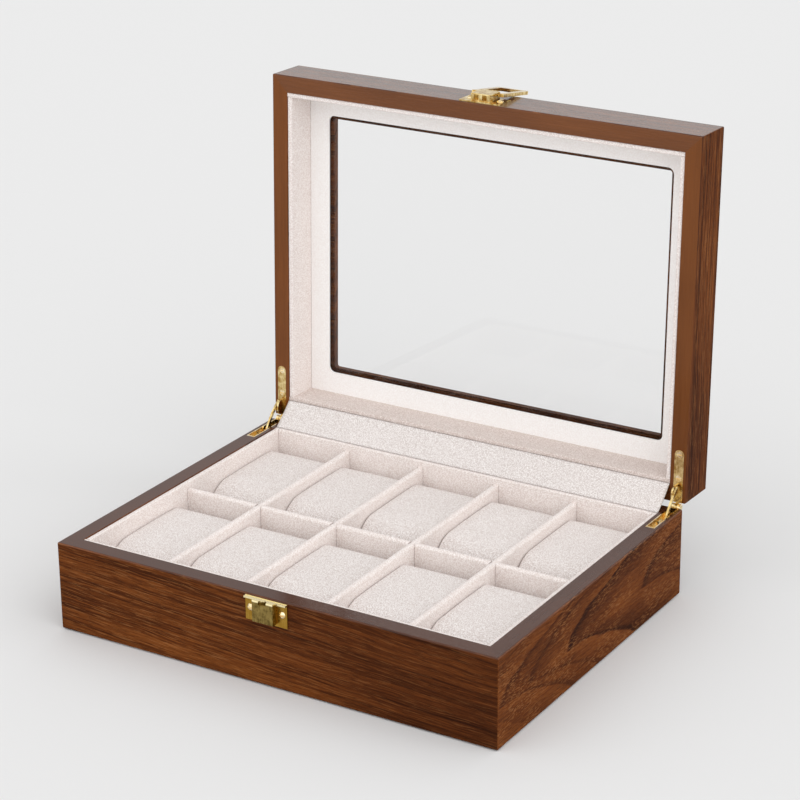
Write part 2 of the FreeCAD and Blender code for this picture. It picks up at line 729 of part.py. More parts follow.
def build_lower_leaves():
    """Channel-shaped leaves in the base rims, with the pockets of the ears and the outer knuckle slices."""
    slices = f"({LEAF_HALF} - sizes.knuckle_middle / 2 - sizes.knuckle_gap)"
    web_low = f"{AXIS_Z} - sizes.knuckle_radius"
    thickness = f"{LOWER_LEAF_TOP} - {LOWER_LEAF_LOW}"
    for side in SIDES:
        name = f"hinge_lower_leaf_{side}"
        leaf = leaf_outline(f"{name}_bar", side, LOWER_LEAF_LOW, thickness, "0", False)
        starts = (f"-{LEAF_HALF}", "sizes.knuckle_middle / 2 + sizes.knuckle_gap")
        knuckles = [
            knuckle(f"{name}_knuckle_{number}", side, start, slices, web_low, "sizes.knuckle_radius")
            for number, start in enumerate(starts)
        ]
        holes = [hinge_bore(f"{name}_bore", side)]
        hollows = {"channel": (CHANNEL_FRONT, CHANNEL_FLOOR), "pocket": (POCKET_FRONT, POCKET_FLOOR)}
        for hollow, (front, floor) in hollows.items():
            corner = (f"{hinge_centre(side)} - {CHANNEL_HALF}", front, floor)
            lengths = (f"2 * {CHANNEL_HALF}", f"{CHANNEL_BACK} - {front}", f"{RIM} - {floor}")
            holes.append(block(f"{name}_{hollow}", corner, lengths))
        for number, point in enumerate(hinge_screw_points(side, "lower", LOWER_SCREW_Z)):
            holes.append(countersink(f"{name}_sink_{number}", point, "-z"))
        sub_part(name, cut(f"{name}_cut", joined(f"{name}_whole", [leaf, *knuckles]), holes))


def build_hinge_fittings():
    """Pins of the two hinges and the screws of the lower leaves."""
    screws = []
    for side in SIDES:
        for number, point in enumerate(hinge_screw_points(side, "lower", LOWER_SCREW_Z)):
            screws.append(countersunk_screw(f"base_screw_{side}_{number}", point, "-z"))
    pins = [hinge_rod(f"hinge_pin_{side}", side, "sizes.hinge_pin_radius") for side in SIDES]
    sub_part("hinge_pins", grouped("hinge_pin_pair", pins))
    sub_part("hinge_base_screws", grouped("base_screw_set", screws))


def raised_box(name, half_width, low, height, proud):
    """Block that stands out from a brass plate, its front edges eased."""
    whole = block(
        f"{name}_block",
        (f"-{half_width}", f"-{HALF_Y} - {proud}", low),
        (f"2 * {half_width}", proud, height),
    )
    doc.recompute()
    behind = whole.Shape.BoundBox.YMin + sheet.brass_edge_round
    return rounded(name, whole, sheet.brass_edge_round, lambda edge: edge.BoundBox.YMax < behind)


def brass_plate(name, low, height):
    """Flat plate on the front of the box, behind a raised box."""
    return block(
        name,
        ("-sizes.latch_plate_width / 2", PLATE_FRONT, low),
        ("sizes.latch_plate_width", "sizes.latch_plate_thickness", height),
    )


def build_catch():
    """Plate on the front of the base, with a flange along its top and the box that the hasp drops over."""
    plate_low = f"({RIM} - sizes.catch_plate_height)"
    plate = brass_plate("catch_sheet", plate_low, f"{RIM} - sizes.edge_radius - {plate_low}")
    height = "sizes.catch_block_height"
    raised = raised_box("catch_box", CATCH_HALF, CATCH_LOW, height, "sizes.catch_block_proud")
    flange = block(
        "catch_flange",
        (
            "-sizes.latch_plate_width / 2",
            f"-{HALF_Y} - sizes.catch_flange_depth",
            f"{CATCH_TOP} - sizes.catch_flange_thickness",
        ),
        ("sizes.latch_plate_width", "sizes.catch_flange_depth", "sizes.catch_flange_thickness"),
    )
    notch = rod(
        "catch_notch",
        ("0", f"-{HALF_Y} - sizes.catch_block_proud", f"{CATCH_TOP} - sizes.catch_notch_depth"),
        "z",
        "sizes.catch_notch_radius",
        "sizes.catch_notch_depth",
    )
    tools = [notch]
    screws = []
    for side, sign in SIDES.items():
        hole = (f"{sign} * {PLATE_SCREW_X}", PLATE_FRONT, CATCH_SCREW_Z)
        tools.append(domed_screw_bore(f"catch_hole_{side}", hole))
        screws.append(domed_screw(f"catch_screw_{side}", hole))
    sub_part("catch_plate", cut("catch_cut", joined("catch_whole", [plate, flange, raised]), tools))
    sub_part("catch_screws", grouped("catch_screw_pair", screws))


def build_lid_frame(placement):
    """Four mitred rails of the lid, with the hinge mortises and the pilot holes of the latch."""
    case = rounded_case("lid_case", LID_RIM, "sizes.lid_height")
    cuts = {side: [] for side in ("front", "rear", "left", "right")}
    for side in SIDES:
        cuts[side].append(upper_mortise(f"mortise_lid_{side}", side))
        cuts["rear"].append(upper_mortise(f"mortise_lid_rear_{side}", side))
        for number, point in enumerate(hinge_screw_points(side, "upper", UPPER_SCREW_Z)):
            cuts[side].append(countersink(f"pilot_lid_{side}_{number}", point, "z"))
        screw = (f"{SIDES[side]} * {PLATE_SCREW_X}", PLATE_FRONT, LATCH_SCREW_Z)
        cuts["front"].append(domed_screw_bore(f"pilot_latch_{side}", screw))
    cuts["rear"].append(rear_rebate("rebate_lid", LID_RIM))
    for side, tools in cuts.items():
        name = f"lid_{side}_rail"
        board = mitred_board(name, case, side, LID_RIM, "sizes.lid_height")
        sub_part(name, cut(f"{name}_cut", board, tools), placement)


def window_cutter(name, half_x, half_y, low, height, radius):
    """Block with round upright corners, to cut a window."""
    return rounded(name, centred_block(f"{name}_block", half_x, half_y, low, height), radius, is_upright)


def build_lid_window(placement):
    """Panel with its window, the glass in the panel's rebate, and the mat that covers its edge."""
    sight_x = "(sizes.window_width / 2 - sizes.window_ledge)"
    sight_y = "(sizes.window_depth / 2 - sizes.window_ledge)"
    glass_x = f"({sight_x} + sizes.glass_overlap)"
    glass_y = f"({sight_y} + sizes.glass_overlap)"
    rebate_x = f"({glass_x} + sizes.glass_clearance)"
    rebate_y = f"({glass_y} + sizes.glass_clearance)"
    corner = sheet.window_corner - sheet.window_ledge
    panel = centred_block("panel_board", INNER_X, INNER_Y, PANEL_LOW, "sizes.panel_thickness")
    sight = window_cutter("panel_window", sight_x, sight_y, PANEL_LOW, "sizes.panel_thickness", corner)
    rebate = centred_block("panel_rebate", rebate_x, rebate_y, PANEL_LOW, "sizes.glass_thickness")
    sub_part("lid_panel", cut("panel_cut", panel, [sight, rebate]), placement)
    glass = centred_block("glass_pane", glass_x, glass_y, PANEL_LOW, "sizes.glass_thickness")
    sub_part("lid_glass", glass, placement)
    mat = centred_block("mat_board", INNER_X, INNER_Y, MAT_LOW, "sizes.mat_thickness")
    half_x = "(sizes.window_width / 2)"
    half_y = "(sizes.window_depth / 2)"
    opening = window_cutter("mat_window", half_x, half_y, MAT_LOW, "sizes.mat_thickness", sheet.window_corner)
    sub_part("lid_mat", cut("mat_cut", mat, [opening]), placement)


def pair_start(side, piece):
    """Low end of the ear or the stay across the hinge: the two lie side by side, the stay outermost."""
    outermost = (piece == "stay") == (side == "right")
    return f"({CHANNEL_PAIR} / 2 - sizes.{piece}_thickness)" if outermost else f"(-{CHANNEL_PAIR} / 2)"


def is_lower_crossing(edge):
    """True for an edge of an ear that runs along X below the lid's rim, away from the leaf."""
    return abs(direction(edge).x) > 0.999 and edge.Vertexes[0].Z < rim


def build_upper_leaves(placement):
    """Flat leaves in the lid rims, with the middle slices of the knuckles and the broad ears of the stays."""
    rivets = []
    screws = []
    web_height = f"{AXIS_Z} + sizes.knuckle_radius - {UPPER_LEAF_LOW}"
    for side, sign in SIDES.items():
        name = f"hinge_upper_leaf_{side}"
        leaf = leaf_outline(f"{name}_plate", side, UPPER_LEAF_LOW, "sizes.upper_leaf_thickness", "0", True)
        barrel = knuckle(
            f"{name}_knuckle",
            side,
            "-sizes.knuckle_middle / 2",
            "sizes.knuckle_middle",
            UPPER_LEAF_LOW,
            web_height,
        )
        ear = block(
            f"{name}_ear",
            (f"{hinge_centre(side)} + {pair_start(side, 'ear')}", EAR_FRONT, EAR_LOW),
            ("sizes.ear_thickness", f"{EAR_BACK} - {EAR_FRONT}", "sizes.ear_depth"),
        )
        ear = rounded(f"{name}_ear_round", ear, sheet.ear_corner, is_lower_crossing)
        whole = joined(f"{name}_whole", [leaf, barrel, ear])
        start = (f"{hinge_centre(side)} - {CHANNEL_PAIR} / 2", STAY_PIVOT_Y, STAY_PIVOT_Z)
        rivets.append(rod(f"stay_rivet_{side}", start, "x", "sizes.rivet_radius", CHANNEL_PAIR))
        radius = "sizes.rivet_radius + sizes.pin_clearance"
        holes = [
            hinge_bore(f"{name}_bore", side),
            rod(f"{name}_rivet_hole", start, "x", radius, CHANNEL_PAIR),
        ]
        for number, point in enumerate(hinge_screw_points(side, "upper", UPPER_SCREW_Z)):
            holes.append(countersink(f"{name}_sink_{number}", point, "z"))
            screws.append(countersunk_screw(f"lid_screw_{side}_{number}", point, "z"))
        sub_part(name, cut(f"{name}_cut", whole, holes), placement)
    sub_part("stay_rivets", grouped("stay_rivet_pair", rivets), placement)
    sub_part("hinge_lid_screws", grouped("lid_screw_set", screws), placement)


def stay_fold():
    """Turn of a stay from shut to open, found from where its foot rests in the channel."""
    level = stay_pivot_z - axis_z
    opening = math.radians(sheet.lid_opening)
    pivot_up = sheet.stay_reach * math.sin(opening) + level * math.cos(opening)
    dip = math.asin((pivot_up - level) / sheet.stay_length)
    return sheet.lid_opening + math.degrees(dip)


def build_stays(placement):
    """Bowed links that hang on the ears of the upper leaves, their feet in the channels of the lower ones."""
    opened = placement.multiply(turned(stay_pivot_y, stay_pivot_z, stay_fold()))
    thickness = "sizes.stay_thickness"
    half = "sizes.stay_height / 2"
    for side in SIDES:
        name = f"stay_{side}"
        start = f"{hinge_centre(side)} + {pair_start(side, 'stay')}"
        heel = (start, STAY_PIVOT_Y, STAY_PIVOT_Z)
        toe = (start, STAY_FOOT_Y, STAY_PIVOT_Z)
        middle = f"({STAY_PIVOT_Y} + {STAY_FOOT_Y}) / 2"
        centre = (start, middle, f"{STAY_PIVOT_Z} + sizes.stay_bow - {STAY_ARC}")
        outer = rod(f"{name}_outer", centre, "x", f"{STAY_ARC} + {half}", thickness)
        inner = rod(f"{name}_inner", centre, "x", f"{STAY_ARC} - {half}", thickness)
        span = block(
            f"{name}_span",
            (start, STAY_FOOT_Y, f"{STAY_PIVOT_Z} - sizes.stay_height"),
            (thickness, "sizes.stay_length", "2 * sizes.stay_height + sizes.stay_bow"),
        )
        band = shared(f"{name}_band", cut(f"{name}_ring", outer, [inner]), span)
        eyes = [
            rod(f"{name}_heel", heel, "x", "sizes.stay_eye", thickness),
            rod(f"{name}_toe", toe, "x", "sizes.stay_eye", thickness),
        ]
        hole = rod(f"{name}_hole", heel, "x", "sizes.rivet_radius + sizes.pin_clearance", thickness)
        sub_part(name, cut(f"{name}_cut", joined(f"{name}_link", [band, *eyes]), [hole]), opened)


def build_latch(placement):
    """Plate on the front of the lid with its raised block, the pin through it, and its screws."""
    plate = brass_plate("latch_sheet", f"{LID_RIM} + sizes.latch_plate_rise", "sizes.latch_plate_height")
    height = "sizes.latch_block_height"
    raised = raised_box("latch_box", LATCH_HALF, LATCH_LOW, height, "sizes.latch_block_proud")
    tools = []
    screws = []
    middle = "((sizes.latch_block_proud + sizes.latch_plate_thickness) / 2)"
    for side, sign in SIDES.items():
        corner = f"{sign} * sizes.latch_socket_spacing / 2 - sizes.latch_socket / 2"
        tools.append(block(
            f"latch_socket_{side}",
            (corner, f"-{HALF_Y} - {middle} - sizes.latch_socket / 2", LATCH_LOW),
            ("sizes.latch_socket", "sizes.latch_socket", "sizes.latch_socket_depth"),
        ))
        hole = (f"{sign} * {PLATE_SCREW_X}", PLATE_FRONT, LATCH_SCREW_Z)
        tools.append(domed_screw_bore(f"latch_hole_{side}", hole))
        screws.append(domed_screw(f"latch_screw_{side}", hole))
    start = (f"-{HASP_OUTER}", HASP_AXIS_Y, HASP_AXIS_Z)
    radius = "sizes.hasp_pin_radius + sizes.pin_clearance"
    tools.append(rod("latch_bore", start, "x", radius, f"2 * {HASP_OUTER}"))
    sub_part("latch_plate", cut("latch_cut", joined("latch_whole", [plate, raised]), tools), placement)
    sub_part("latch_screws", grouped("latch_screw_pair", screws), placement)
    pin = rod("latch_pin_rod", start, "x", "sizes.hasp_pin_radius", f"2 * {HASP_OUTER}")
    sub_part("latch_pin", pin, placement)


def hasp_flip():
    """Turn of the hasp from latched to flipped back, where it comes to lie against the lid's top edge."""
    edge_rise = sheet.lid_height - hasp_rise
    leaning = math.acos((sheet.hasp_thickness / 2 + sheet.hasp_rest_gap) / math.hypot(hasp_proud, edge_rise))
    return 180 + math.degrees(leaning - math.atan2(edge_rise, hasp_proud))


def build_hasp(placement):
    """Frame of two arms and a bar, drawn latched and then flipped back over the edge of the lid."""
    body = doc.addObject("PartDesign::Body", "hasp_frame")
    sketch = new_sketch(body, "hasp_outline", "XZ_Plane", f"-{HASP_AXIS_Y} - sizes.hasp_thickness / 2")
    top = f"{HASP_AXIS_Z} + sizes.hasp_arm_end"
    sill = f"({CATCH_LOW} - sizes.hasp_clearance)"
    low = f"{sill} - sizes.hasp_bar"
    draw_outline(sketch, [
        (f"-{HASP_OUTER}", top), (f"-{HASP_OUTER}", low), (HASP_OUTER, low), (HASP_OUTER, top),
        (HASP_INNER, top), (HASP_INNER, sill), (f"-{HASP_INNER}", sill), (f"-{HASP_INNER}", top),
    ])
    pad(body, "hasp_pad", sketch, "sizes.hasp_thickness")
    doc.recompute()
    lowest = body.Shape.BoundBox.ZMin

    def is_lower_corner(edge):
        return abs(direction(edge).y) > 0.999 and abs(edge.Vertexes[0].Z - lowest) < 1e-6

    soften(body, "hasp_corners", "sizes.hasp_corner", is_lower_corner)
    pivot = new_sketch(body, "hasp_pivot", "YZ_Plane")
    draw_circle(pivot, HASP_AXIS_Y, HASP_AXIS_Z, "sizes.hasp_pin_radius + sizes.pin_clearance")
    drill(body, "hasp_hole", pivot)
    hasp_y = -sheet.box_depth / 2 - hasp_proud
    hasp_z = rim + sheet.closing_gap + hasp_rise
    sub_part("latch_hasp", body, placement.multiply(turned(hasp_y, hasp_z, -hasp_flip())))


def build_hinge_cloth(placement):
    """Suede strip from the rear lining to the lid's rear lining, glued along their outer edges."""
    glued = sheet.box_depth / 2 - sheet.wall - sheet.cloth_inset
    start = FreeCAD.Vector(0, glued, rim - sheet.liner_setback + sheet.cloth_seat)
    lid_edge = rim + sheet.closing_gap + sheet.liner_setback - sheet.cloth_seat
    finish = placement.multVec(FreeCAD.Vector(0, glued, lid_edge))
    run = finish - start
    half_x = f"({INNER_X} - sizes.cloth_end_gap)"
    strip = doc.addObject("Part::Box", "cloth_strip")
    strip.Width = run.Length
    bind(strip, {"Length": f"2 * {half_x}", "Height": "sizes.cloth_thickness"})
    place(strip, (f"-{half_x}", "0", "-sizes.cloth_thickness / 2"))
    lean = FreeCAD.Rotation(FreeCAD.Vector(1, 0, 0), math.degrees(math.atan2(run.z, run.y)))
    sub_part("hinge_cloth", strip, FreeCAD.Placement(start, lean))


def check_and_write():
    """Stops on any failed object or bad shape, then writes one file for each piece."""
    doc.recompute()
    for made in doc.Objects:
        if "Invalid" in made.State or "Error" in made.State:
            raise RuntimeError(f"{made.Name} failed: {made.State}")
    for made in sub_parts:
        if made.Shape.isNull() or not made.Shape.isValid():
            raise RuntimeError(f"{made.Label} has no valid shape")
    os.makedirs("parts", exist_ok=True)
    for made in sub_parts:
        made.Shape.exportStep(f"parts/{made.Label}.step")
    print(f"{len(sub_parts)} pieces written")


def main():
    """Builds every piece of the box and writes it."""
    lid_open = turned(axis_y, axis_z, -sheet.lid_opening)
    build_base_walls()
    build_base_floor()
    build_base_linings()
    build_dividers()
    build_catch()
    build_lower_leaves()
    build_hinge_fittings()
    build_hinge_cloth(lid_open)
    build_lid_frame(lid_open)
    build_lid_window(lid_open)
    build_lid_linings(lid_open)
    build_upper_leaves(lid_open)
    build_latch(lid_open)
    build_stays(lid_open)
    build_hasp(lid_open)
    build_cushions()
    check_and_write()


main()
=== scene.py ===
"""Looks of the watch box: walnut case, suede linings, ten padded cushions, brass fittings, glazed lid.

Metres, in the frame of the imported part: +Z is up, the front faces -Y and the lid stands open at rest.
"""
import math
import bpy
import numpy as np
from mathutils import Matrix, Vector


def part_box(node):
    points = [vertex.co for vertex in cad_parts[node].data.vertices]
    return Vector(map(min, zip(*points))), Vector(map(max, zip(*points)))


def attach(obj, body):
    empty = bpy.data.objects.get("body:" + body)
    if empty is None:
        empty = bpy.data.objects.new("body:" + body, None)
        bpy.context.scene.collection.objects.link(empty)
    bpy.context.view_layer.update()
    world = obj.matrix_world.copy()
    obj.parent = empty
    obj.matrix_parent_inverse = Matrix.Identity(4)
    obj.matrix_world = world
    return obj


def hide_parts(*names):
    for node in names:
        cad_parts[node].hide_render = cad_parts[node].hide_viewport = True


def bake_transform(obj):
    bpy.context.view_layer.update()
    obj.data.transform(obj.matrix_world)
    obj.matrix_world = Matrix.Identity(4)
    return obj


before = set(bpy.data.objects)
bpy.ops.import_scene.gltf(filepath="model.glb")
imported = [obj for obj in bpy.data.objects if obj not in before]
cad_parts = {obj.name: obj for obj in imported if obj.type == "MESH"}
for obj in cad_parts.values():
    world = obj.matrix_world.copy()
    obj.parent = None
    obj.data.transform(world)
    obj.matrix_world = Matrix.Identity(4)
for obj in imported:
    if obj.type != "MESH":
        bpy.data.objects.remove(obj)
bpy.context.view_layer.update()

MM = 0.001
ROWS = ("front", "rear")
COLUMNS = range(1, 6)

# Case: the level of the two rims when shut, and the hinge axis about which the lid opens
BASE_RIM = 0.0552
LID_RIM = 0.0555
HINGE_Y = 0.1134
HINGE_Z = 0.0547
LID_OPENING = math.radians(91.9)

# Cloth strip behind the cushions: its two glued edges as (y, z), its length and thickness, how far it hangs
# slack, its ripples along the strip as (height, radians to the metre, start), and its points up and along
CLOTH_ON_BASE = (0.1000, 0.0548)
CLOTH_ON_LID = (0.114787, 0.067861)
CLOTH_WIDTH = 0.2684
CLOTH_THICKNESS = 0.0008
CLOTH_SLACK = 0.45 * MM
CLOTH_RIPPLES = ((0.12 * MM, 61, 1.2), (0.08 * MM, 143, 0.0))
CLOTH_GRID = (15, 132)

# Cushion mesh: the steps along its seat and top, and up its two ends; the points across its width and round
# the fold at its seams; and the points of its outline before they are evened out
ALONG = 36
UP = 18
ACROSS = 25
FOLD_POINTS = 4
TURN_POINTS = 33
SEAT_POINTS = 40
TOP_POINTS = 60

# Cushion: corners of the seat, rear and front shoulder, rise of the top, rounding of the seams, and how much
# fuller it is at the middle of its width
SEAT_CORNER = 6 * MM
REAR_SHOULDER = 12.5 * MM
FRONT_SHOULDER = 20 * MM
CROWN = 0.3 * MM
SEAM = 0.8 * MM
FULLER = 0.15 * MM

# Room that a cushion leaves in the CAD solid's box for its puff, at the sides and at the top; the most that a
# point may move as it is blown up; the height below which it is held; and its own unevenness as a height, the
# waves across its width and length, and how far they shift from column to column and from row to row
SIDE_ROOM = 0.3 * MM
TOP_ROOM = 0.9 * MM
PUFF = 0.5 * MM
HELD_BELOW = 1.5 * MM
UNEVEN = 0.2 * MM
UNEVEN_WAVES = (1.3, 1.9)
UNEVEN_SHIFT = (1.7, 0.9)

# Cloth settings of a cushion's cover, and the frames over which it is blown up
COVER = {
    "quality": 6,
    "mass": 0.1,
    "tension_stiffness": 8,
    "compression_stiffness": 8,
    "shear_stiffness": 4,
    "bending_stiffness": 0.2,
    "use_pressure": True,
    "uniform_pressure_force": 4,
}
PUFF_FRAMES = range(1, 21)

# Size of the suede's grain on the covered boards, and on the cushions and the cloth strip
BOARD_GRAIN = 0.65 * MM
SOFT_GRAIN = 0.55 * MM
# Size of the patches where it was stroked, how far off a seam its painted shadow line begins to fade and
# ends, and how far below the top of the seam it fades out
STROKES = 0.03
SEAM_SHADE_WIDTH = (0.1 * MM, 0.4 * MM)
SEAM_SHADE_FADE = 1 * MM

# Cathedral figure: how far along the grain from its tip each dark growth ring starts, and how dark it is; the
# width of a ring's onset, the start and end of its dark core's fading, the width of its slow fading and the
# weight of the core; and how fast an arch runs back above and below the tip
RINGS = ((-0.128, 0.05), (-0.076, 0.09), (-0.045, 0.06), (0.0, 0.17), (0.092, 0.10))
RING_ONSET = 4 * MM
RING_CORE = (1 * MM, 8 * MM)
RING_FADE = 70 * MM
CORE_WEIGHT = 0.7
ARCH_ABOVE = 92
ARCH_BELOW = 0.54

# Layers of walnut: length and width of the streaks in metres, detail of their noise and its shift along them
LAYERS = {
    "slow": (0.16, 0.05, 2.0, 3.1),
    "waves": (0.045, 0.012, 1.0, 11.3),
    "fibres": (0.028, 0.8 * MM, 3.0, 0.0),
    "pores": (0.008, 0.45 * MM, 3.0, 0.0),
    "growth": (0.45, 3.2 * MM, 3.0, 0.0),
    "lines": (0.40, 2.2 * MM, 2.0, 2.3),
    "flecks": (0.016, 0.55 * MM, 3.0, 7.3),
    "figure_growth": (0.25, 16 * MM, 3.0, 0.0),
    "figure_patches": (0.035, 0.014, 1.0, 5.7),
    "figure_flecks": (0.0035, 0.6 * MM, 1.0, 7.3),
}
# Noise at which the marks of a layer start, and at which they are full
MARKS = {
    "pores": (0.55, 0.63),
    "lines": (0.49, 0.40),
    "flecks": (0.56, 0.62),
    "figure_patches": (0.42, 0.62),
    "figure_flecks": (0.52, 0.62),
}
# How far the waves and the slow noise bend the fibres, the straight growth bands and the figure
FIBRE_WAVES = 4.5 * MM
BAND_WAVES = 1.6 * MM
BAND_BEND = 9 * MM
FIGURE_WAVES = 5 * MM
FIGURE_BEND = 6 * MM
# How far the bands move across for each step into the board, and how slowly they change with it
BAND_SLANT = 0.6
BAND_DEPTH = 0.1
# Painted shade: where along the grain the veneer starts to darken, and where it is darkest
PAINTED_SHADE_SPAN = (-0.10, 0.13)
# Depths from the level of a rim at which its stain and its rounding start and are full
STAINED = (-0.12 * MM, -0.03 * MM)
ROUNDED = (-0.8 * MM, -0.6 * MM)

# Brass: length and width of its rolling lines, size of its uneven patches, how far in front of the catch's
# plate a painted golden reflection starts and is full, and how deep the painted highlight on its top is
ROLLED = (0.012, 0.26 * MM)
LUSTRE = 0.0035
PAINTED_GOLD_REFLECTION = (2 * MM, 1 * MM)
PAINTED_EDGE_HIGHLIGHT = 0.2 * MM

# Size of the felt's tangles
TANGLE = 0.0012

# Studio: half width of the floor, its colour and the backdrop's, light from all round, and the lamps as
# (direction, strength, spread in degrees)
FLOOR_REACH = 8.0
FLOOR = "#e8e8e8"
BACKDROP = "#ebebeb"
AMBIENT = (0.71, 0.71, 0.71, 1)
LAMPS = {"key": ((0.80, -0.25, 0.55), 1.25, 80), "fill": ((-0.25, -0.80, 0.50), 0.65, 80)}

# Camera: lens and sensor in millimetres, place, heading from the front, height above level and roll
LENS = 117.33
SENSOR = 36
EYE = (0.735284, -1.171649, 0.676951)
HEADING = 0.548797
RAISED = 0.374411
ROLL = -0.009718


def colour(code):
    """Linear colour of a hex code: each channel c becomes ((c + 0.055) / 1.055) ^ 2.4 above the toe."""
    channels = np.array([int(code[k:k + 2], 16) for k in (1, 3, 5)]) / 255
    linear = np.where(channels <= 0.04045, channels / 12.92, ((channels + 0.055) / 1.055) ** 2.4)
    return (*linear.tolist(), 1.0)


class Field:
    """A value over a surface: sums and products of fields add Math nodes to the tree that they are in."""

    def __init__(self, tree, socket=None):
        self.tree = tree
        self.socket = socket

    def node(self, kind, settings=None, sockets=None, output=0):
        """Any other node: its type, settings, the values or links of its sockets, and the output taken."""
        made = self.tree.nodes.new(f"ShaderNode{kind}")
        for name, value in (settings or {}).items():
            if name == "stops":
                made.color_ramp.elements[0].position = value[0][0]
                made.color_ramp.elements[0].color = value[0][1]
                made.color_ramp.elements[1].position = value[-1][0]
                made.color_ramp.elements[1].color = value[-1][1]
                for position, stop in value[1:-1]:
                    made.color_ramp.elements.new(position).color = stop
            else:
                setattr(made, name, value)
        for name, value in (sockets or {}).items():
            if isinstance(value, Field):
                self.tree.links.new(value.socket, made.inputs[name])
            else:
                made.inputs[name].default_value = value
        return Field(self.tree, made.outputs[output] if len(made.outputs) else None)

    def out(self, name):
        """Another output of the node that this value comes from."""
        return Field(self.tree, self.socket.node.outputs[name])

    def math(self, operation, *values):
        return self.node("Math", {"operation": operation}, dict(enumerate(values)))

    def __add__(self, other):
        return self.math("ADD", self, other)

    def __sub__(self, other):
        return self.math("SUBTRACT", self, other)

    def __rsub__(self, other):
        return self.math("SUBTRACT", other, self)

    def __mul__(self, other):
        return self.math("MULTIPLY", self, other)

    def __pow__(self, other):
        return self.math("POWER", self, other)


def eased(value, low, high):
    """Smooth step of a field from 0 at low to 1 at high."""
    settings = {"interpolation_type": "SMOOTHSTEP"}
    return value.node("MapRange", settings, {"Value": value, "From Min": low, "From Max": high})


def mixed(share, first, second):
    """Colour that goes from the first to the second as the share goes from 0 to 1."""
    return share.node("Mix", {"data_type": "RGBA"}, {0: share, 6: first, 7: second}, 2)


def new_material(name):
    """An empty material and a field to build it from."""
    material = bpy.data.materials.new(name)
    material.use_nodes = True
    material.node_tree.nodes.clear()
    return material, Field(material.node_tree)


def finished(material, field, shader):
    """The material with the shader on its surface."""
    field.node("OutputMaterial", {}, {"Surface": shader})
    return material


def bumped(field, height, depth, strength=1.0):
    """Normal of a surface raised by a height from 0 to 1 times a depth in metres."""
    return field.node("Bump", {}, {"Height": height, "Distance": depth, "Strength": strength})


def object_place(field, turn=0.0, centre=(0.0, 0.0)):
    """Object coordinates, turned about an axis along X through a point given as (y, z)."""
    place = field.node("TexCoord", {}, {}, "Object")
    if not turn:
        return place
    c, s = math.cos(turn), math.sin(turn)
    y, z = centre
    shift = (0.0, y - (c * y - s * z), z - (s * y + c * z))
    return field.node("Mapping", {}, {"Vector": place, "Location": shift, "Rotation": (turn, 0.0, 0.0)})


def parts_of(place):
    """The three components of a place."""
    split = place.node("SeparateXYZ", {}, {"Vector": place})
    return [split.out(axis) for axis in "XYZ"]


def streaks(u, v, w, length, width, detail, shift=0.0):
    """Noise drawn out along the grain, in patches of a length and a width in metres."""
    scaled = {"X": u * (1 / length) + shift, "Y": v * (1 / width), "Z": w * (1 / width)}
    place = u.node("CombineXYZ", {}, scaled)
    sockets = {"Vector": place, "Scale": 1.0, "Detail": detail, "Roughness": 0.6}
    return u.node("TexNoise", {"noise_dimensions": "3D"}, sockets)


def grains(place, size, detail, roughness=0.6):
    """Even noise with patches of one size in metres."""
    sockets = {"Vector": place, "Scale": 1 / size, "Detail": detail, "Roughness": roughness}
    return place.node("TexNoise", {}, sockets)


# Tones of the veneer from its darkest to its palest growth, its pores and its flecks
VENEER_TONES = [
    (0.30, colour("#321608")),
    (0.44, colour("#502810")),
    (0.56, colour("#693817")),
    (0.74, colour("#8d5327")),
]
PORE = colour("#231006")
FLECK = colour("#a06a3e")

# Darkest and lightest tone of the stained rims, and the weight of their lacquer, by whether it is the lid's
RIM_STAIN = {False: (colour("#3a1e12"), colour("#5a3320")), True: (colour("#4a260e"), colour("#885026"))}
RIM_LACQUER = {False: 1.0, True: 0.5}
# Weight of the lacquer on the other faces, and how far behind a shiny front face it is back to that
LACQUER = 0.12
SHINY_DEPTH = 0.3 * MM


def arch_rings(u, v, tip):
    """How far inside a cathedral figure's first arch a place lies, along the grain from the tip (u, v).

    Above the tip an arch runs back by ARCH_ABOVE times the square of its rise, below it by ARCH_BELOW times
    the root of its drop.
    """
    rise = v - tip[1]
    above = rise.math("MAXIMUM", rise, 0.0)
    below = rise.math("MAXIMUM", 0.0 - rise, 0.0)
    return u - tip[0] - above * above * ARCH_ABOVE - below ** 0.5 * ARCH_BELOW


def ring_shade(ring):
    """Darkness of the growth rings: each starts sharply on its outer side and fades towards the inside."""
    shade = 0.0
    for start, strength in RINGS:
        begin = eased(ring, start - RING_ONSET, start)
        core = begin * (1 - eased(ring, start + RING_CORE[0], start + RING_CORE[1]))
        fade = begin * (1 - eased(ring, start, start + RING_FADE))
        shade = (core * CORE_WEIGHT + fade) * strength + shade
    return shade


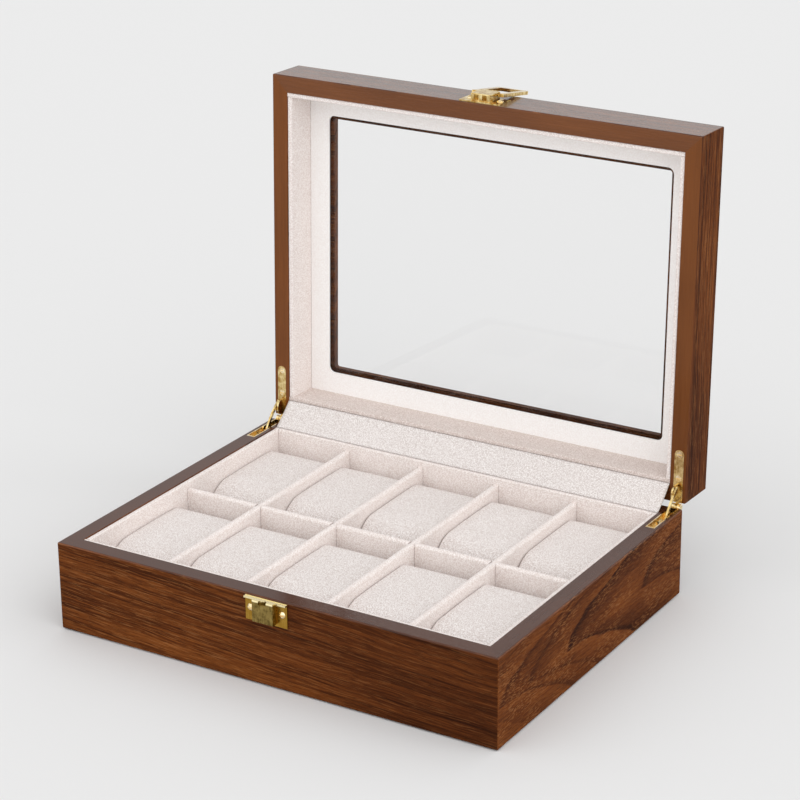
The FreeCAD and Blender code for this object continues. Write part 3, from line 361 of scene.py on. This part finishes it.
def walnut(name, along, on_lid=False, figure=None, shift=0.0, lean=0.0, painted_shade=0.0, rim=True, depth=0.0,
           lacquer=LACQUER, gloss=0.0, shiny=None):
    """Open-grained walnut veneer with a stained rim, under a satin lacquer.

    Growth bands and dark lines are noise over the distance across the grain, which slow noise bends and
    lean slopes. Where figure gives the tip (u, v) of a cathedral figure they follow its arches instead.
    Stretched noise adds fibres, dark pores and pale flecks. A painted shade darkens the veneer along the
    grain by the weight given, and its lines and flecks fade there. The rim is told from its level with the
    lid shut. Where shiny gives the depth of the front face, only that face has the full lacquer.
    """
    material, field = new_material(name)
    place = object_place(field, LID_OPENING, (HINGE_Y, HINGE_Z)) if on_lid else object_place(field)
    x, y, z = parts_of(place)
    u, v, w = (x, z, y) if along == "x" else (y, z, x)

    def layer(kind, across, deep):
        length, width, detail, start = LAYERS[kind]
        return streaks(u, across, deep, length, width, detail, shift + start)

    def marks(kind, across, deep):
        return eased(layer(kind, across, deep), *MARKS[kind])

    slow = layer("slow", v, w)
    waves = layer("waves", v, w)
    straight = v + u * lean
    bent = straight + (waves - 0.5) * FIBRE_WAVES
    fibres = layer("fibres", bent, w)
    pores = marks("pores", bent, w)
    # Painted shade: the veneer is made darker towards one end along the grain
    dim = eased(u, *PAINTED_SHADE_SPAN) * painted_shade
    if figure:
        ring = arch_rings(u, v + (waves - 0.5) * FIGURE_WAVES + (slow - 0.5) * FIGURE_BEND, figure)
        growth = layer("figure_growth", ring, w * BAND_DEPTH)
        flecks = marks("figure_flecks", bent, w) * (marks("figure_patches", v, w) * 0.8 + 0.2)
        tone = growth * 0.15 + fibres * 0.35 + slow * 0.30 + 0.16 - ring_shade(ring)
    else:
        across = straight + (waves - 0.5) * BAND_WAVES + w * BAND_SLANT + (slow - 0.5) * BAND_BEND
        growth = layer("growth", across, w * BAND_DEPTH)
        lines = marks("lines", across, w * BAND_DEPTH)
        flecks = marks("flecks", across, w)
        tone = growth * 0.34 + fibres * 0.34 + slow * 0.45 - lines * (0.12 - dim * 0.5) - 0.04
    tone = tone - depth - dim
    veneer = tone.node("ValToRGB", {"stops": VENEER_TONES}, {"Fac": tone})
    veneer = mixed(pores * 0.4, veneer, PORE)
    veneer = mixed(flecks * (0.42 - dim * 2), veneer, FLECK)
    rough = pores * 0.14 + fibres * 0.12 + 0.36
    height = 1 - pores * 0.8 - fibres * 0.2
    coat = lacquer
    if shiny is not None:
        coat = (1 - eased(y, shiny, shiny + SHINY_DEPTH)) * (lacquer - LACQUER) + LACQUER
    if rim:
        level, sign = (LID_RIM, -1) if on_lid else (BASE_RIM, 1)
        inside = (z - level) * sign
        edge = eased(inside, *STAINED)
        rounding = eased(inside, *ROUNDED)
        stain = mixed(fibres * 0.4 + growth * 0.3 + eased(slow, 0.3, 0.7) * 0.3, *RIM_STAIN[on_lid])
        veneer = mixed(edge, veneer, stain)
        rough = rough - rounding * 0.16
        height = height * (1 - rounding * 0.85)
        coat = rounding * (RIM_LACQUER[on_lid] - coat) + coat
    shader = field.node("BsdfPrincipled", {}, {
        "Base Color": veneer,
        "Roughness": rough,
        "Specular IOR Level": gloss,
        "Coat Weight": coat,
        "Coat Roughness": 0.16,
        "Coat IOR": 1.4,
        "Normal": bumped(field, height, 0.09 * MM),
    })
    return finished(material, field, shader)


def suede(name, pale, deep, grain, depth, speckle, seams=()):
    """Brushed suede: a pebbled nap with deeper hollows, over slow shading where it was stroked.

    The nap is noise one grain across, sharpened by the smooth distance to scattered points of the same
    spacing. A thin dark line is painted along each seam where another covered board meets it, a painted
    shadow of the gap there, given by its place across the box and the level that it reaches.
    """
    material, field = new_material(name)
    place = object_place(field)
    voronoi = {"feature": "SMOOTH_F1"}
    pebbles = field.node("TexVoronoi", voronoi, {"Vector": place, "Scale": 1 / grain, "Smoothness": 0.5})
    fuzz = grains(place, grain, 3.0, 0.65)
    stroked = grains(place, STROKES, 2.0)
    nap = pebbles * 0.5 + fuzz * 0.8 - 0.15
    tint = mixed(eased(nap, 0.36, 0.58) * speckle + (stroked - 0.5) * 0.1, pale, deep)
    if seams:
        x, _, z = parts_of(place)
        # Painted shadow: a dark line along each seam where two covered boards meet
        for seam, top in seams:
            off = x - seam
            line = (1 - eased(off.math("ABSOLUTE", off), *SEAM_SHADE_WIDTH)) * eased(z, top, top - SEAM_SHADE_FADE)
            tint = mixed(line * 0.6, tint, colour("#7d6a62"))
    shader = field.node("BsdfPrincipled", {}, {
        "Base Color": tint,
        "Roughness": fuzz * 0.12 + 0.84,
        "Specular IOR Level": 0.12,
        "Sheen Weight": 0.1,
        "Sheen Roughness": 0.5,
        "Normal": bumped(field, 1 - nap, depth),
    })
    return finished(material, field, shader)


def brass(name, dull, bright, smooth, catch=None):
    """Plated brass: polished faces with fine upright rolling lines and uneven lustre.

    Where catch gives the depth of the catch's plate and the level of its top edge, a golden reflection is
    painted on the plate behind the brushed box, and a highlight is painted on the top edge.
    """
    material, field = new_material(name)
    place = object_place(field)
    x, y, z = parts_of(place)
    lines = streaks(z, x, y, *ROLLED, 3.0)
    cloud = grains(place, LUSTRE, 3.0)
    tint = mixed(eased(cloud * 0.6 + lines * 0.4, 0.36, 0.64), dull, bright)
    if catch:
        plate, edge = catch
        # Painted reflection: golden tone on the plate behind the box; then a painted highlight on the top
        # edge
        tint = mixed(eased(y, plate - PAINTED_GOLD_REFLECTION[0], plate - PAINTED_GOLD_REFLECTION[1]) * 0.6, tint, colour("#b98a2c"))
        tint = mixed(eased(z, edge - PAINTED_EDGE_HIGHLIGHT, edge), tint, colour("#f6e7b5"))
    shader = field.node("BsdfPrincipled", {}, {
        "Base Color": tint,
        "Metallic": 1.0,
        "Roughness": lines * 0.14 + cloud * 0.10 + smooth,
        "Normal": bumped(field, lines * 0.5 + cloud * 0.5, 0.04 * MM, 0.4),
    })
    return finished(material, field, shader)


def window_glass(name):
    """Thin clear pane: lets light through, and mirrors more of it the more slantingly it is seen."""
    material, field = new_material(name)
    clear = field.node("BsdfTransparent", {}, {"Color": colour("#fefefe")})
    gloss = field.node("BsdfGlossy", {}, {"Color": colour("#ffffff"), "Roughness": 0.02})
    slant = field.node("Fresnel", {}, {"IOR": 1.45})
    return finished(material, field, field.node("MixShader", {}, {0: slant * 0.35, 1: clear, 2: gloss}))


def felt(name):
    """Pressed felt: short tangled fibres, matt and uneven."""
    material, field = new_material(name)
    place = object_place(field)
    tangle = grains(place, TANGLE, 5.0, 0.75)
    tint = mixed(tangle, colour("#1d1613"), colour("#443732"))
    shader = field.node("BsdfPrincipled", {}, {
        "Base Color": tint,
        "Roughness": tangle * 0.1 + 0.88,
        "Specular IOR Level": 0.1,
        "Normal": bumped(field, tangle, 0.3 * MM),
    })
    return finished(material, field, shader)


def dress_case():
    """Gives every rigid piece of the part its finish."""
    sides = ("left", "right")
    dividers = [f"divider_cross_{number}" for number in range(1, 5)]
    lining = ["liner_left", "liner_right", "liner_floor", *dividers]
    lining += ["lid_liner_front", "lid_liner_left", "lid_liner_right"]
    met = ["liner_front", "liner_rear", "divider_long"]
    # Seams that get a painted shadow line: the dividers' and side liners' edges, and the mat's ends
    faces = [(corner[0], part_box(node)[1][2]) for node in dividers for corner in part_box(node)]
    faces += [(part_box("liner_left")[1][0], BASE_RIM), (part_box("liner_right")[0][0], BASE_RIM)]
    mat_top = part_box("lid_mat")[1][2]
    mat_ends = [(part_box("lid_liner_left")[1][0], mat_top), (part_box("lid_liner_right")[0][0], mat_top)]
    screws = ["hinge_base_screws", "hinge_lid_screws", "catch_screws", "latch_screws", "stay_rivets"]
    # Screws and lower leaves: smoother brass, painted paler as a painted highlight for their bright
    # reflections
    polished = screws + [f"hinge_lower_leaf_{side}" for side in sides]
    hardware = ["hinge_pins", "latch_plate", "latch_pin", "latch_hasp"]
    hardware += [f"{piece}_{side}" for piece in ("hinge_upper_leaf", "stay") for side in sides]
    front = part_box("base_front_wall")[0][1]
    lining_nap = (colour("#f9f3f0"), colour("#d5c6bf"), BOARD_GRAIN, 0.08 * MM, 0.7)
    # Painted shade: the lid's rear lining is a darker, pinker copy of the lining suede
    shaded_lid_rear_nap = (colour("#e9dfda"), colour("#c2b0a7"), BOARD_GRAIN, 0.10 * MM, 0.8)
    # Painted light: the mat's suede is painted paler than the lining suede, near white
    lit_mat_nap = (colour("#fdfcfb"), colour("#efeae7"), BOARD_GRAIN, 0.05 * MM, 0.6)
    # Depth of the catch's plate and level of its top edge, for its painted reflection and highlight
    catch_edges = (-0.1115, 0.0534)
    finishes = {
        # The front wall is painted darker towards its right end, a painted shade
        walnut("walnut_front", "x", shift=0.4, lean=0.05, painted_shade=0.13, depth=-0.02): ["base_front_wall"],
        walnut("walnut_rear", "x", shift=5.2): ["base_rear_wall", "base_floor"],
        walnut("walnut_right", "y", figure=(-0.031, 0.0253), shift=1.7): ["base_right_wall"],
        walnut("walnut_left", "y", figure=(0.012, 0.030), shift=9.6): ["base_left_wall"],
        walnut("walnut_lid_front", "x", True, shift=2.9, lacquer=1.0, gloss=0.15, shiny=front): [
            "lid_front_rail",
        ],
        walnut("walnut_lid_rear", "x", True, shift=8.2): ["lid_rear_rail"],
        walnut("walnut_lid_side", "y", True, shift=4.1): ["lid_left_rail", "lid_right_rail"],
        walnut("walnut_lid_panel", "x", True, shift=6.6, rim=False, depth=0.06, lacquer=0.3): ["lid_panel"],
        felt("base_felt"): ["base_felt"],
        window_glass("window_glass"): ["lid_glass"],
        suede("lining_suede", *lining_nap): lining,
        suede("seam_shaded_suede", *lining_nap, faces): met,
        suede("lid_rear_suede_painted_shade", *shaded_lid_rear_nap): ["lid_liner_rear"],
        suede("mat_suede_painted_light", *lit_mat_nap, mat_ends): ["lid_mat"],
        brass("brass", colour("#ae8439"), colour("#f6e2a8"), 0.05): hardware,
        # Smoother than the brass, and painted paler: partly real polish, partly painted light
        brass("brass_polished_painted_light", colour("#e0b968"), colour("#fff6d8"), 0.02): polished,
        # The catch's brass is rougher, and painted darker and olive for a dimmer reflection: a painted shade
        brass("brass_brushed_painted_shade", colour("#66542a"), colour("#a0894f"), 0.16, catch_edges): ["catch_plate"],
    }
    for finish, nodes in finishes.items():
        for node in nodes:
            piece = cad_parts[node]
            if not piece.material_slots:
                piece.data.materials.append(finish)
            for slot in piece.material_slots:
                slot.material = finish


def new_mesh(name, points, faces):
    """Object at the origin with the given points and faces, shaded smooth."""
    mesh = bpy.data.meshes.new(name)
    mesh.from_pydata(points.tolist(), [], faces)
    mesh.shade_smooth()
    made = bpy.data.objects.new(name, mesh)
    bpy.context.scene.collection.objects.link(made)
    return made


def points_of(mesh):
    """The points of a mesh as an array."""
    flat = np.zeros(len(mesh.vertices) * 3, np.float32)
    mesh.vertices.foreach_get("co", flat)
    return flat.reshape(-1, 3).astype(float)


def grid_faces(rows, columns, closed):
    """Four-sided faces between neighbouring rows of a grid, which may close on itself along its rows."""
    row = np.arange(rows - 1)[:, None]
    column = np.arange(columns if closed else columns - 1)[None, :]
    following = (column + 1) % columns
    corners = (row * columns + column, row * columns + following,
               (row + 1) * columns + following, (row + 1) * columns + column)
    corners = [np.broadcast_to(corner, (rows - 1, column.size)) for corner in corners]
    return np.stack(corners, -1).reshape(-1, 4).tolist()


def four_sides(edge):
    """Seat, top, front and rear of a cushion's closed outline, each from the front or from the seat."""
    closed = np.concatenate([edge, edge[:1]])
    rear, top, front, seat = np.split(closed, np.cumsum([UP, ALONG, UP]))
    top, front = np.concatenate([top, front[:1]])[::-1], np.concatenate([front, seat[:1]])[::-1]
    return seat, top, front, np.concatenate([rear, top[-1:]])


def pillow_outline(half_length, height):
    """A cushion's outline along its length as (y, z): four sides that meet at the middles of its corners.

    A flat seat with rounded corners, upright ends, a rear and a front shoulder that are quarter circles,
    and a top that rises by a parabola to its crown. The points of each side are evenly spaced.
    """
    low, rear, front = SEAT_CORNER, REAR_SHOULDER, FRONT_SHOULDER
    turn = np.linspace(0, math.pi / 2, TURN_POINTS)
    seat = np.linspace(-half_length + low, half_length - low, SEAT_POINTS)
    top = np.linspace(half_length - rear, -half_length + front, TOP_POINTS)
    y = np.concatenate([
        seat,
        half_length - low + low * np.sin(turn),
        half_length - rear + rear * np.cos(turn),
        top,
        -half_length + front - front * np.sin(turn),
        -half_length + low - low * np.cos(turn),
    ])
    z = np.concatenate([
        seat * 0,
        low - low * np.cos(turn),
        height - rear + rear * np.sin(turn),
        height + CROWN * (1 - np.linspace(-1, 1, top.size) ** 2),
        height - front + front * np.cos(turn),
        low - low * np.sin(turn),
    ])
    y, z = np.append(y, y[0]), np.append(z, z[0])
    run = np.concatenate([[0], np.cumsum(np.hypot(np.diff(y), np.diff(z)))])
    corners = np.cumsum([seat.size, turn.size, turn.size + top.size, turn.size]) + turn.size // 2
    stops = np.append(run[corners], run[corners[0]] + run[-1])
    steps = zip(stops, stops[1:], (UP, ALONG, UP, ALONG))
    even = np.concatenate([np.linspace(start, end, count, endpoint=False) for start, end, count in steps])
    return np.interp(even % run[-1], run, y), np.interp(even % run[-1], run, z)


def pillow(name, half_width, half_length, height):
    """Closed cushion about the middle of its seat, and a mask of the points of its seat and seams.

    A belt carries the outline across the width, a little fuller at the middle. At each side a quarter
    circle folds it over, moving the outline along its own normals. A Coons patch closes the side: the two
    surfaces ruled between opposite sides of the outline, less the bilinear surface through its corners.
    """
    turn = np.linspace(0, math.pi / 2, FOLD_POINTS)[1:]
    belt = np.linspace(-1, 1, ACROSS) * (half_width - SEAM)
    fold = half_width - SEAM + SEAM * np.sin(turn)
    across = np.concatenate([-fold[::-1], belt, fold])
    inset = SEAM * (1 - np.cos(turn))
    inset = np.concatenate([inset[::-1], belt * 0, inset])[:, None]
    y, z = pillow_outline(half_length, height)
    dy, dz = np.roll(y, -1) - np.roll(y, 1), np.roll(z, -1) - np.roll(z, 1)
    reach = np.hypot(dy, dz)
    full = FULLER * (1 - (across / half_width) ** 2)[:, None] * np.clip(z / height, 0, 1) ** 2
    rows = np.stack(np.broadcast_arrays(
        across[:, None], y - inset * dz / reach, z + inset * dy / reach + full), -1)
    count = rows.shape[0] * rows.shape[1]
    points, faces = [rows.reshape(-1, 3)], grid_faces(*rows.shape[:2], True)
    s = np.linspace(0, 1, ALONG + 1)[:, None, None]
    t = np.linspace(0, 1, UP + 1)[None, :, None]
    for row, outward in ((0, -1), (across.size - 1, 1)):
        seat, top, front, rear = four_sides(rows[row])
        ruled = (1 - t) * seat[:, None] + t * top[:, None] + (1 - s) * front[None] + s * rear[None]
        plain = (1 - s) * ((1 - t) * seat[0] + t * top[0]) + s * ((1 - t) * seat[-1] + t * top[-1])
        inner = (ruled - plain)[1:-1, 1:-1]
        index = np.zeros((ALONG + 1, UP + 1), int)
        index[:, 0], index[:, -1], index[0], index[-1] = four_sides(row * y.size + np.arange(y.size))
        index[1:-1, 1:-1] = count + np.arange(inner[..., 0].size).reshape(inner.shape[:2])
        count += inner[..., 0].size
        points.append(inner.reshape(-1, 3))
        corners = (index[:-1, :-1], index[1:, :-1], index[1:, 1:], index[:-1, 1:])
        faces += np.stack(corners, -1).reshape(-1, 4)[:, ::outward].tolist()
    points = np.concatenate(points)
    held = points[:, 2] < HELD_BELOW
    held[:rows[..., 0].size] |= np.broadcast_to(inset > 0, rows.shape[:2]).ravel()
    return new_mesh(name, points, faces), held


def puffed(piece, held, cap):
    """Points of a cushion blown up as cloth under air pressure, its seat and seams held.

    A simulated step s moves a point by s cap / (cap + |s|), so that no point moves further than the cap.
    """
    scene = bpy.context.scene
    start = points_of(piece.data)
    group = piece.vertex_groups.new(name="seat_and_seams")
    group.add(np.flatnonzero(held).tolist(), 1.0, "REPLACE")
    cloth = piece.modifiers.new("air", "CLOTH")
    for setting, value in COVER.items():
        setattr(cloth.settings, setting, value)
    cloth.settings.vertex_group_mass = group.name
    cloth.settings.effector_weights.gravity = 0
    for number in PUFF_FRAMES:
        scene.frame_set(number)
    settled(piece)
    scene.frame_set(PUFF_FRAMES[0])
    step = points_of(piece.data) - start
    return start + step * cap / (cap + np.linalg.norm(step, axis=1, keepdims=True))


def settled(piece):
    """Replaces a mesh by what its modifiers make of it, and takes them off."""
    graph = bpy.context.evaluated_depsgraph_get()
    mesh = bpy.data.meshes.new_from_object(piece.evaluated_get(graph))
    piece.modifiers.clear()
    piece.data = mesh


def make_cushions():
    """Ten padded cushions, one in each compartment, each with its own slight unevenness."""
    low, high = (np.array(corner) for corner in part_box("cushion_front_1"))
    half = (high - low) / 2
    height = high[2] - low[2]
    pattern, held = pillow("cushion_pattern", half[0] - SIDE_ROOM, half[1] - SIDE_ROOM, height - TOP_ROOM)
    shape = puffed(pattern, held, PUFF)
    finish = suede("cushion_suede", colour("#faf6f4"), colour("#cabdb7"), SOFT_GRAIN, 0.12 * MM, 0.8)
    for row in ROWS:
        for number in COLUMNS:
            name = f"cushion_{row}_{number}"
            place_low, place_high = (np.array(corner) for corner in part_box(name))
            seat = np.array([*((place_low + place_high) / 2)[:2], place_low[2]])
            phase = UNEVEN_SHIFT[0] * number + UNEVEN_SHIFT[1] * ROWS.index(row)
            side = shape[:, 0] / half[0] * UNEVEN_WAVES[0]
            end = shape[:, 1] / half[1] * UNEVEN_WAVES[1]
            swell = np.sin(side + phase) * np.cos(end - phase)
            share = np.clip(shape[:, 2] / height, 0, 1) ** 2
            points = shape + seat
            points[:, 2] += UNEVEN * swell * share
            mesh = pattern.data.copy()
            mesh.vertices.foreach_set("co", points.astype(np.float32).ravel())
            mesh.shade_smooth()
            piece = bpy.data.objects.new(f"padded_{name}", mesh)
            bpy.context.scene.collection.objects.link(piece)
            mesh.materials.clear()
            mesh.materials.append(finish)
            smooth = piece.modifiers.new("smooth", "SUBSURF")
            smooth.levels = smooth.render_levels = 1
            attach(piece, name)
            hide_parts(name)
    bpy.data.objects.remove(pattern)


def make_hinge_cloth():
    """Suede strip from the base to the lid: a straight run, slack by half a sine, with ripples."""
    start, finish = np.array(CLOTH_ON_BASE), np.array(CLOTH_ON_LID)
    run = finish - start
    length = np.hypot(*run)
    down = np.array([run[1], -run[0]]) / length
    x = np.linspace(-CLOTH_WIDTH / 2, CLOTH_WIDTH / 2, CLOTH_GRID[1])
    t = np.linspace(0, 1, CLOTH_GRID[0])
    ripple = sum(size * np.sin(x * rate + phase) for size, rate, phase in CLOTH_RIPPLES)
    slack = np.sin(math.pi * t)[:, None] * (CLOTH_SLACK + ripple)
    y = start[0] + run[0] * t[:, None] + down[0] * slack
    z = start[1] + run[1] * t[:, None] + down[1] * slack
    points = np.stack([np.broadcast_to(x[None, :], y.shape), y, z], -1).reshape(-1, 3)
    strip = new_mesh("suede_strip", points, grid_faces(t.size, x.size, False))
    strip.data.materials.append(
        suede("strip_suede", colour("#f6f2f0"), colour("#c6bbb6"), SOFT_GRAIN, 0.12 * MM, 0.8)
    )
    solid = strip.modifiers.new("cloth", "SOLIDIFY")
    solid.thickness = CLOTH_THICKNESS
    solid.offset = 0
    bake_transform(strip)
    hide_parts("hinge_cloth")


def make_studio():
    """Pale floor, even soft light and the camera."""
    scene = bpy.context.scene
    scene.view_settings.view_transform = "Standard"
    corners = np.array([[-1, -1, 0], [1, -1, 0], [1, 1, 0], [-1, 1, 0]]) * FLOOR_REACH
    floor = new_mesh("studio_floor", corners, [[0, 1, 2, 3]])
    material, field = new_material("studio_floor")
    shader = field.node("BsdfPrincipled", {}, {
        "Base Color": colour(FLOOR),
        "Roughness": 1.0,
        "Specular IOR Level": 0.0,
    })
    floor.data.materials.append(finished(material, field, shader))

    world = bpy.data.worlds.new("studio")
    world.use_nodes = True
    world.node_tree.nodes.clear()
    rays = Field(world.node_tree).node("LightPath", {}, {}, "Is Camera Ray")
    seen = rays + rays.out("Is Glossy Ray") + rays.out("Is Transmission Ray")
    tint = mixed(seen.math("MINIMUM", seen, 1.0), AMBIENT, colour(BACKDROP))
    backdrop = rays.node("Background", {}, {"Color": tint, "Strength": 1.0})
    rays.node("OutputWorld", {}, {"Surface": backdrop})
    scene.world = world

    for name, (towards, strength, spread) in LAMPS.items():
        lamp = bpy.data.lights.new(name, "SUN")
        lamp.energy = strength
        lamp.angle = math.radians(spread)
        made = bpy.data.objects.new(name, lamp)
        made.matrix_world = looking(np.array(towards) / np.linalg.norm(towards), (0, 0, 1), (0, 0, 2))
        scene.collection.objects.link(made)

    c, s = math.cos(HEADING), math.sin(HEADING)
    back = np.array([s * math.cos(RAISED), -c * math.cos(RAISED), math.sin(RAISED)])
    level = np.array([c, s, 0])
    upright = math.cos(ROLL) * np.cross(back, level) - math.sin(ROLL) * level
    lens = bpy.data.cameras.new("camera")
    lens.lens = LENS
    lens.sensor_width = SENSOR
    camera = bpy.data.objects.new("camera", lens)
    camera.matrix_world = looking(back, upright, EYE)
    scene.collection.objects.link(camera)
    scene.camera = camera


def looking(back, upright, place):
    """Matrix of a lamp or camera at a place, looking away from back, with upright towards the top."""
    right = np.cross(upright, back)
    right = right / np.linalg.norm(right)
    columns = np.stack([right, np.cross(back, right), back, np.array(place, float)], 1)
    return Matrix(np.vstack([columns, [0, 0, 0, 1]]).tolist())


dress_case()
make_cushions()
make_hinge_cloth()
make_studio()
